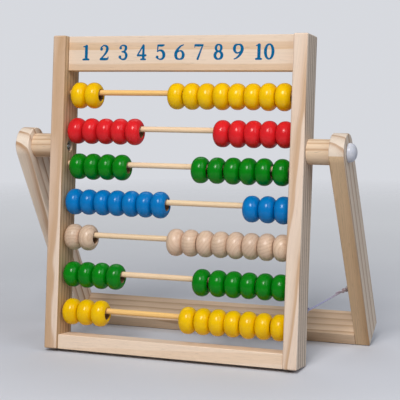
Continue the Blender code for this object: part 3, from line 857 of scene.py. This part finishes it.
def bead_profile(width, radius):
    """A bead's (along, radius) outline from one end of its bore to the other, round its outside."""
    half = width / 2
    reach, power = half * 1.155, 2.4  # how far the round outside would run, and how square it is

    def outside(x):
        return radius * (1 - (x / reach) ** power) ** (1 / power)

    right = [(x, outside(x)) for x in [half * 0.985 * sin(pi / 2 * i / 15) for i in range(16)]]
    rim = outside(half)
    right += [(half * 0.997, rim - 0.0001), (half, rim - 0.0004), (half, BEAD_MOUTH + 0.0002)]
    right += [(half - 0.00012, BEAD_MOUTH - 0.00018), (half - 0.0005, BEAD_BORE + 0.00005)]
    right.append((half - 0.0011, BEAD_BORE))
    return [(-x, r) for x, r in right[:0:-1]] + right


def build_bead(name, node, body, colour, outline, place, own, grain):
    mesh = shaped(name, lambda bm: turned(bm, outline, 56, ring=True), place)
    keep_grain(mesh, own, "x", *grain)
    made = settle(name, mesh, PAINTS[colour], body, [node], 60, False)
    # The bore's faces get the bare wood with painted shade.
    other_faces(made, place, BORE_WOOD_AND_SHADE, lambda normal, centre: hypot(centre.y, centre.z) < BEAD_BORE + 0.0001)


def build_beads():
    """Seventy beads. Each hangs on its rod, a little askew and a little different from the next."""
    draw = random.Random(5)
    for row, (colour, left_count, left_less, right_less, loose) in enumerate(ROWS):
        rod = ROD_PLACES[row]
        groups = (("left", left_count, left_less, {}), ("right", 10 - left_count, right_less, loose))
        for side, count, less, gaps in groups:
            body = f"row_{row + 1}_{side}"
            low, high = own_box(body + "_beads", FRAME)
            pitch = BEAD_PITCH - less
            start = low.x if side == "left" else high.x - count * pitch - sum(gaps.values())
            for i in range(count):
                width = pitch - draw.uniform(0.00018, 0.00042)
                radius = BEAD_RADIUS + draw.uniform(-0.00025, 0.0002)
                lean, slew = draw.uniform(-0.9, 0.9), draw.uniform(-0.8, 0.8)
                roll, spin = draw.uniform(0, 360), draw.uniform(55, 90)
                # Its room along the rod is less by what its askew rim takes up.
                spare = max(0.0, (pitch - width) / 2 - radians(abs(lean) + abs(slew)) * BEAD_RIM)
                x = start + pitch / 2 + draw.uniform(-1, 1) * spare
                start += pitch + gaps.get(i + 1, 0.0)
                drop = BEAD_BORE - ROD_RADIUS - radians(abs(lean)) * width / 2 - TOUCH
                tilt = Matrix.Rotation(radians(lean), 4, "Y") @ Matrix.Rotation(radians(slew), 4, "Z")
                place = FRAME @ Matrix.Translation((x, rod.y, rod.z - drop)) @ tilt
                own = place @ Matrix.Rotation(radians(roll), 4, "X") @ Matrix.Rotation(radians(spin), 4, "Z")
                pith = (draw.uniform(-26, 26), draw.uniform(12, 30), 0.0)
                rings = (2.6, draw.uniform(0.93, 1.06), 0.45 if colour == "natural" else 0.7)
                grain = (pith, draw.uniform(0, 4000), rings)
                outline = bead_profile(width, radius)
                build_bead(f"{body}_bead_{i + 1}", body + "_beads", body, colour, outline, place, own, grain)


# ---- the pivots' ironwork and caps. Each piece is made about X, outwards from near to far.


def bolt(bm, tip, crown):
    out = 1 if crown > tip else -1
    head = crown - out * BOLT_HEAD_HEIGHT
    edge, flat = 0.0006, 0.0002
    shank = np.linspace(0.0004, abs(head - tip) - 0.0004, 151)
    profile = [(tip, 0.0013), *[(tip + out * x, BOLT_RADIUS) for x in shank], (head, BOLT_RADIUS)]
    profile += [(head, BOLT_HEAD_RADIUS - 0.0001), (head + out * 0.0003, BOLT_HEAD_RADIUS)]
    for i in range(9):
        rise, spread = sin(pi / 2 * i / 8), cos(pi / 2 * i / 8)
        along = edge + (BOLT_HEAD_HEIGHT - edge) * rise
        profile.append((head + out * along, flat + (BOLT_HEAD_RADIUS - flat) * spread))

    def thread(along, radius, a):
        far = abs(along - tip)
        if far > BOLT_THREADED or radius != BOLT_RADIUS:
            return radius
        return radius - 0.00034 * abs(2 * ((far / THREAD_PITCH + a / (2 * pi)) % 1.0) - 1)

    turned(bm, profile, 32, shape=thread)


def nut(bm, near, far):
    def hexagon(along, radius, a):
        return min(radius, NUT_TO_FLAT / cos((a + pi / 6) % (pi / 3) - pi / 6))

    bore = [(0.0003, NUT_BORE), (0, NUT_BORE + 0.0003)]
    end = [*bore, (0, NUT_TO_FLAT - 0.0001), (0.00045, NUT_TO_CORNER)]
    turned(bm, alike_ends(near, far, end), 72, ring=True, shape=hexagon)


def washer(bm, near, far):
    end = [(0, BOLT_HOLE), (0, WASHER_RADIUS - 0.0001), (0.00015, WASHER_RADIUS)]
    turned(bm, alike_ends(near, far, end), 48, ring=True)


def cap(bm, base, top):
    """A hollow dome with a slightly wider foot."""
    out = 1 if top > base else -1

    def dome(height, radius):
        turns = [pi / 2 * i / 14 for i in range(15)]
        return [(CAP_FOOT + (height - CAP_FOOT) * sin(a), max(0.00006, radius * cos(a))) for a in turns]

    height = abs(top - base)
    inside = [(0.0, CAP_RADIUS - CAP_WALL), *dome(height - CAP_WALL, CAP_RADIUS - CAP_WALL)]
    foot = [(0.0, CAP_RADIUS), (0.0003, CAP_RADIUS + 0.00008), (0.0010, CAP_RADIUS + 0.00008)]
    outside = [*foot, (0.0013, CAP_RADIUS - 0.0001), *dome(height, CAP_RADIUS - 0.0001)]
    turned(bm, [(base + out * x, r) for x, r in inside[::-1] + outside], 48)


def build_pivot(side, out):
    for kind, name, body, build, look, slot, smooth in (
        ("pivot_bolt", "bolt", "frame", bolt, STEEL, "steel", 30),
        ("pivot_nut", "nut", "frame", nut, STEEL, "steel", 30),
        ("cap_washer", "washer", "stand", washer, STEEL, "steel", 35),
        ("pivot_cap", "dome_cap", "stand", cap, PLASTIC, "cap_plastic", 60),
    ):
        node = f"{side}_{kind}"
        low, high = own_box(node, PLACES[body])
        near, far = (low.x, high.x) if out > 0 else (high.x, low.x)
        place = FRAME @ Matrix.Translation(PIVOT) if body == "frame" else STAND
        mesh = shaped(f"{side}_{name}", lambda bm: build(bm, near, far), place)
        keep_grain(mesh, place, "x", start=37.0 * (sorted(frame["nodes"]).index(node) + 1))
        weighted = build is not cap  # the dome is smooth all over
        settle(f"{side}_{name}", mesh, look, body, [node], smooth, weighted)


for side, out in SIDES.items():
    build_post(side, out)
    build_leg(side, out)
    build_spacer(side)
    build_pivot(side, out)
build_rail("top_rail", "top", "frame", RAIL_PINE, 0.0006)
build_rail("bottom_rail", "bottom", "frame", RAIL_PINE, 0.0007)
# The crossbar's pine carries painted shade.
build_rail("crossbar", "crossbar", "stand", SHADED_BAR_PINE, 0.0007)
for node in sorted(frame["nodes"]):
    if "_dowel" in node:
        build_dowel(node)
build_rods()
build_beads()


# ---- the printed numbers

NUMBER_BASE = 0.2300
INK_DEPTH = 0.00004
NUMBER_HEIGHT = 11.7  # mm, as are the numbers' other sizes
INK_SPREAD = 1.6  # how much wider the ink is than the strokes
DISC_STEP = 0.06
GRID_STEP = 0.11


def around(x, y, across, up, thick, thin):
    """A closed oval stroke with its weight at the sides."""
    stroke = []
    for a in np.linspace(0, 2 * pi, 49):
        weight = abs(cos(a)) ** 1.3
        stroke.append((x + across * cos(a), y + up * sin(a), thin + (thick - thin) * weight))
    return stroke


# Each digit's strokes: points (across, up, half the stroke's width), in hundredths of the digit's width,
# of its height and of a mm.
SIX = [
    (38, 97, 26), (6, 86, 45), (-26, 60, 70), (-39, 32, 80), (-27, 9, 58), (1, 3.5, 36),
    (29, 10, 62), (39, 31, 76), (28, 51, 55), (3, 58, 34), (-27, 47, 30),
]
DIGITS = {
    "1": [
        [(6, 91.5, 80), (6, 10, 80)],
        [(10, 97.5, 28), (-14, 92, 36), (-42, 89, 24)],
        [(-45, 2.8, 44), (-10, 4, 54), (20, 4, 54), (48, 2.8, 44)],
    ],
    "2": [
        [
            (-33, 73, 60), (-34, 84, 36), (-5, 96.8, 36), (27, 88, 62), (33, 71, 74),
            (20, 49, 58), (-12, 24, 40), (-40, 7, 40),
        ],
        [(-33, 72, 72), (-32, 73, 72)],
        [(-40, 5, 56), (5, 5.2, 64), (32, 6, 56), (41, 10, 40), (45, 20, 22)],
    ],
    "3": [
        [
            (-31, 80, 55), (-27, 90, 34), (0, 96.8, 36), (28, 89, 60), (31, 74, 70),
            (14, 58, 44), (-12, 53.5, 34),
        ],
        [
            (-5, 54, 36), (24, 49, 55), (38, 30, 72), (27, 9, 58), (0, 3.2, 42),
            (-28, 9, 36), (-37, 18, 50),
        ],
        [(-30, 79, 68), (-29, 79, 68)],
        [(-36, 18.5, 74), (-35, 19, 74)],
    ],
    "4": [
        [(19, 94.5, 58), (19, 7.5, 70)],
        [(16, 97, 38), (-15, 63, 36), (-45, 31, 38)],
        [(-44, 29, 50), (44, 29, 52)],
        [(-7, 2.8, 42), (42, 2.8, 42)],
    ],
    "5": [
        [(-28, 94.5, 46), (5, 93.5, 60), (30, 95, 50), (40, 97.5, 24)],
        [(-29, 95, 34), (-33, 54, 30)],
        [
            (-33, 54.5, 30), (-8, 62, 42), (24, 55, 66), (39, 33, 82), (28, 10, 58),
            (0, 3.2, 36), (-28, 9, 36), (-37, 17, 50),
        ],
        [(-36, 17.5, 70), (-35, 18, 70)],
    ],
    "6": [SIX],
    "7": [
        [(-40, 93.5, 56), (10, 93, 60), (44, 94.5, 44)],
        [(-42, 95, 30), (-46, 80, 20)],
        [(44, 94, 34), (20, 56, 42), (-10, 4.5, 56)],
    ],
    "8": [around(0, 75.5, 28, 21.5, 66, 36), around(0, 27.5, 36, 24.5, 76, 38)],
    "9": [[(-x, 100 - y, w) for x, y, w in SIX]],
    "0": [around(0, 50, 37, 46.8, 74, 38)],
}
# Each number's name and digit, its centre from the frame's left edge, and its width.
NUMBERS = [
    ("1", "1", 26.7, 5.2), ("2", "2", 42.7, 7.6), ("3", "3", 58.9, 7.4), ("4", "4", 74.8, 7.6),
    ("5", "5", 90.6, 7.5), ("6", "6", 106.5, 8.0), ("7", "7", 122.3, 7.3), ("8", "8", 138.4, 7.8),
    ("9", "9", 154.2, 8.0), ("10_one", "1", 170.4, 4.5), ("10_nought", "0", 178.7, 8.0),
]


def stroke_discs(stroke, width):
    """Close discs (x, y, radius) along a smooth curve through a stroke's points, in mm."""
    points = np.array(stroke) / 100 * (width, NUMBER_HEIGHT, INK_SPREAD)
    ends = np.vstack([2 * points[0] - points[1], points, 2 * points[-1] - points[-2]])
    discs = []
    for i in range(1, len(ends) - 2):
        a, b, c, d = ends[i - 1 : i + 3]
        steps = max(2, int(np.hypot(*(c - b)[:2]) / DISC_STEP))
        for t in np.linspace(0, 1, steps, endpoint=False):
            square, cube = 2 * a - 5 * b + 4 * c - d, 3 * b - a - 3 * c + d
            discs.append(0.5 * (2 * b + (c - a) * t + square * t**2 + cube * t**3))
    return np.array([*discs, points[-1]])


def outlines(discs):
    """The outlines of the discs' union, as closed loops of (x, y)."""
    xs = np.arange(discs[:, 0].min() - 1.5, discs[:, 0].max() + 1.5, GRID_STEP)
    ys = np.arange(discs[:, 1].min() - 1.5, discs[:, 1].max() + 1.5, GRID_STEP)
    field = np.full((len(xs), len(ys)), -9.0)
    for x, y, w in discs:
        field = np.maximum(field, w - np.hypot(xs[:, None] - x, ys[None, :] - y))
    inside = field > 0
    links, places = {}, {}  # both keyed by the ends of a grid line that an outline crosses
    for i in range(len(xs) - 1):
        for k in range(len(ys) - 1):
            corners = [(i, k), (i + 1, k), (i + 1, k + 1), (i, k + 1)]
            found = []
            for p, q in zip(corners, corners[1:] + corners[:1]):
                if inside[p] == inside[q]:
                    continue
                share = field[p] / (field[p] - field[q])
                x = xs[p[0]] + (xs[q[0]] - xs[p[0]]) * share
                y = ys[p[1]] + (ys[q[1]] - ys[p[1]]) * share
                found.append((min(p, q), max(p, q)))
                places[found[-1]] = (x, y)
            for a, b in zip(found[::2], found[1::2]):
                links.setdefault(a, []).append(b)
                links.setdefault(b, []).append(a)
    loops, seen = [], set()
    for start in links:
        loop, here = [], start
        while here not in seen:
            seen.add(here)
            loop.append(places[here])
            here = next((k for k in links[here] if k not in seen), start)
        if len(loop) > 8:
            loops.append(loop)
    return loops


def build_number(name, digit, centre, width):
    """A printed digit: a thin layer of ink that stands just proud of the top rail's front."""
    curve = bpy.data.curves.new(name, "CURVE")
    curve.dimensions, curve.fill_mode, curve.extrude = "2D", "BOTH", INK_DEPTH
    for loop in outlines(np.vstack([stroke_discs(stroke, width) for stroke in DIGITS[digit]])):
        line = curve.splines.new("POLY")
        line.points.add(len(loop) - 1)
        line.use_cyclic_u = True
        for i, point in enumerate(line.points):
            x, y = np.mean([loop[i - 1], loop[i], loop[i], loop[(i + 1) % len(loop)]], axis=0) / 1000
            point.co = (x, y, 0, 1)
    flat = bpy.data.objects.new(name + "_curve", curve)
    scene.collection.objects.link(flat)
    filled = evaluated(flat)
    bpy.data.objects.remove(flat, do_unlink=True)

    def joined(bm):
        bm.from_mesh(filled)
        bmesh.ops.remove_doubles(bm, verts=bm.verts, dist=1e-7)

    front = own_box("top_rail", FRAME)[0].y - 0.00001
    corner = Matrix.Translation((centre / 1000 - OUTER, front, NUMBER_BASE))
    mesh = shaped(name, joined, FRAME @ corner @ Matrix.Rotation(pi / 2, 4, "X"))
    keep_grain(mesh, FRAME, "x", start=centre * 3)
    settle(name, mesh, INK, "frame", smooth=30, weighted=False)


for which, *rest in NUMBERS:
    build_number("number_" + which, *rest)


# ---- floor and light


def build_floor():
    """A pale floor that fades into the backdrop."""
    n = Net("floor_paint")
    place = n.node("TexCoord", {}, "Object")
    away = n.node("VectorMath", {0: place}, "Value", operation="LENGTH")
    far = n.ramp(away, [(0.15, 0.0), (0.75, 1.0)])
    paler = n.mix(far, (0.64, 0.65, 0.705), (0.92, 0.93, 0.96))
    seen = n.node("LightPath", {}, "Is Camera Ray")
    cloud = n.noise(place, scale=9.0, detail=3)
    colour = n.brighter(n.mix(seen, (0.48, 0.485, 0.51), paler), n.swing(cloud, 0.05))
    n.finish(colour, 0.7)
    fade = n.ramp(n.math("DIVIDE", away, FLOOR_RADIUS), [(0.25, 0.0), (0.85, 1.0)])
    n.mix_with(fade, n.node("BsdfTransparent", {}), "Material Output")

    def disc(bm):
        bmesh.ops.create_circle(bm, cap_ends=True, segments=96, radius=FLOOR_RADIUS)

    mesh = shaped("floor", disc)
    mesh.materials.append(n.owner)
    floor = bpy.data.objects.new("floor", mesh)
    floor.location.z = -0.0001
    scene.collection.objects.link(floor)


def build_light():
    soft_light("key", 8, 41, 1.6, (0.5, 0.55), 18.5, (1.0, 0.985, 0.96))
    soft_light("side", 66, 36, 1.5, (1.0, 1.0), 6.0, (0.84, 0.92, 1.0))
    soft_light("behind", 196, 62, 1.7, (1.2, 1.0), 4.2, (0.97, 0.98, 1.0))
    n = Net("world", "worlds", "Background")
    n.feed(n.shader.inputs["Color"], (0.93, 0.96, 1.0))
    n.feed(n.shader.inputs["Strength"], 0.19)
    backdrop = n.node("Background", {"Color": (0.68, 0.695, 0.735)})
    n.mix_with(n.node("LightPath", {}, "Is Camera Ray"), backdrop, "World Output")
    scene.world = n.owner
    scene.view_settings.view_transform = "Standard"


build_floor()
build_light()
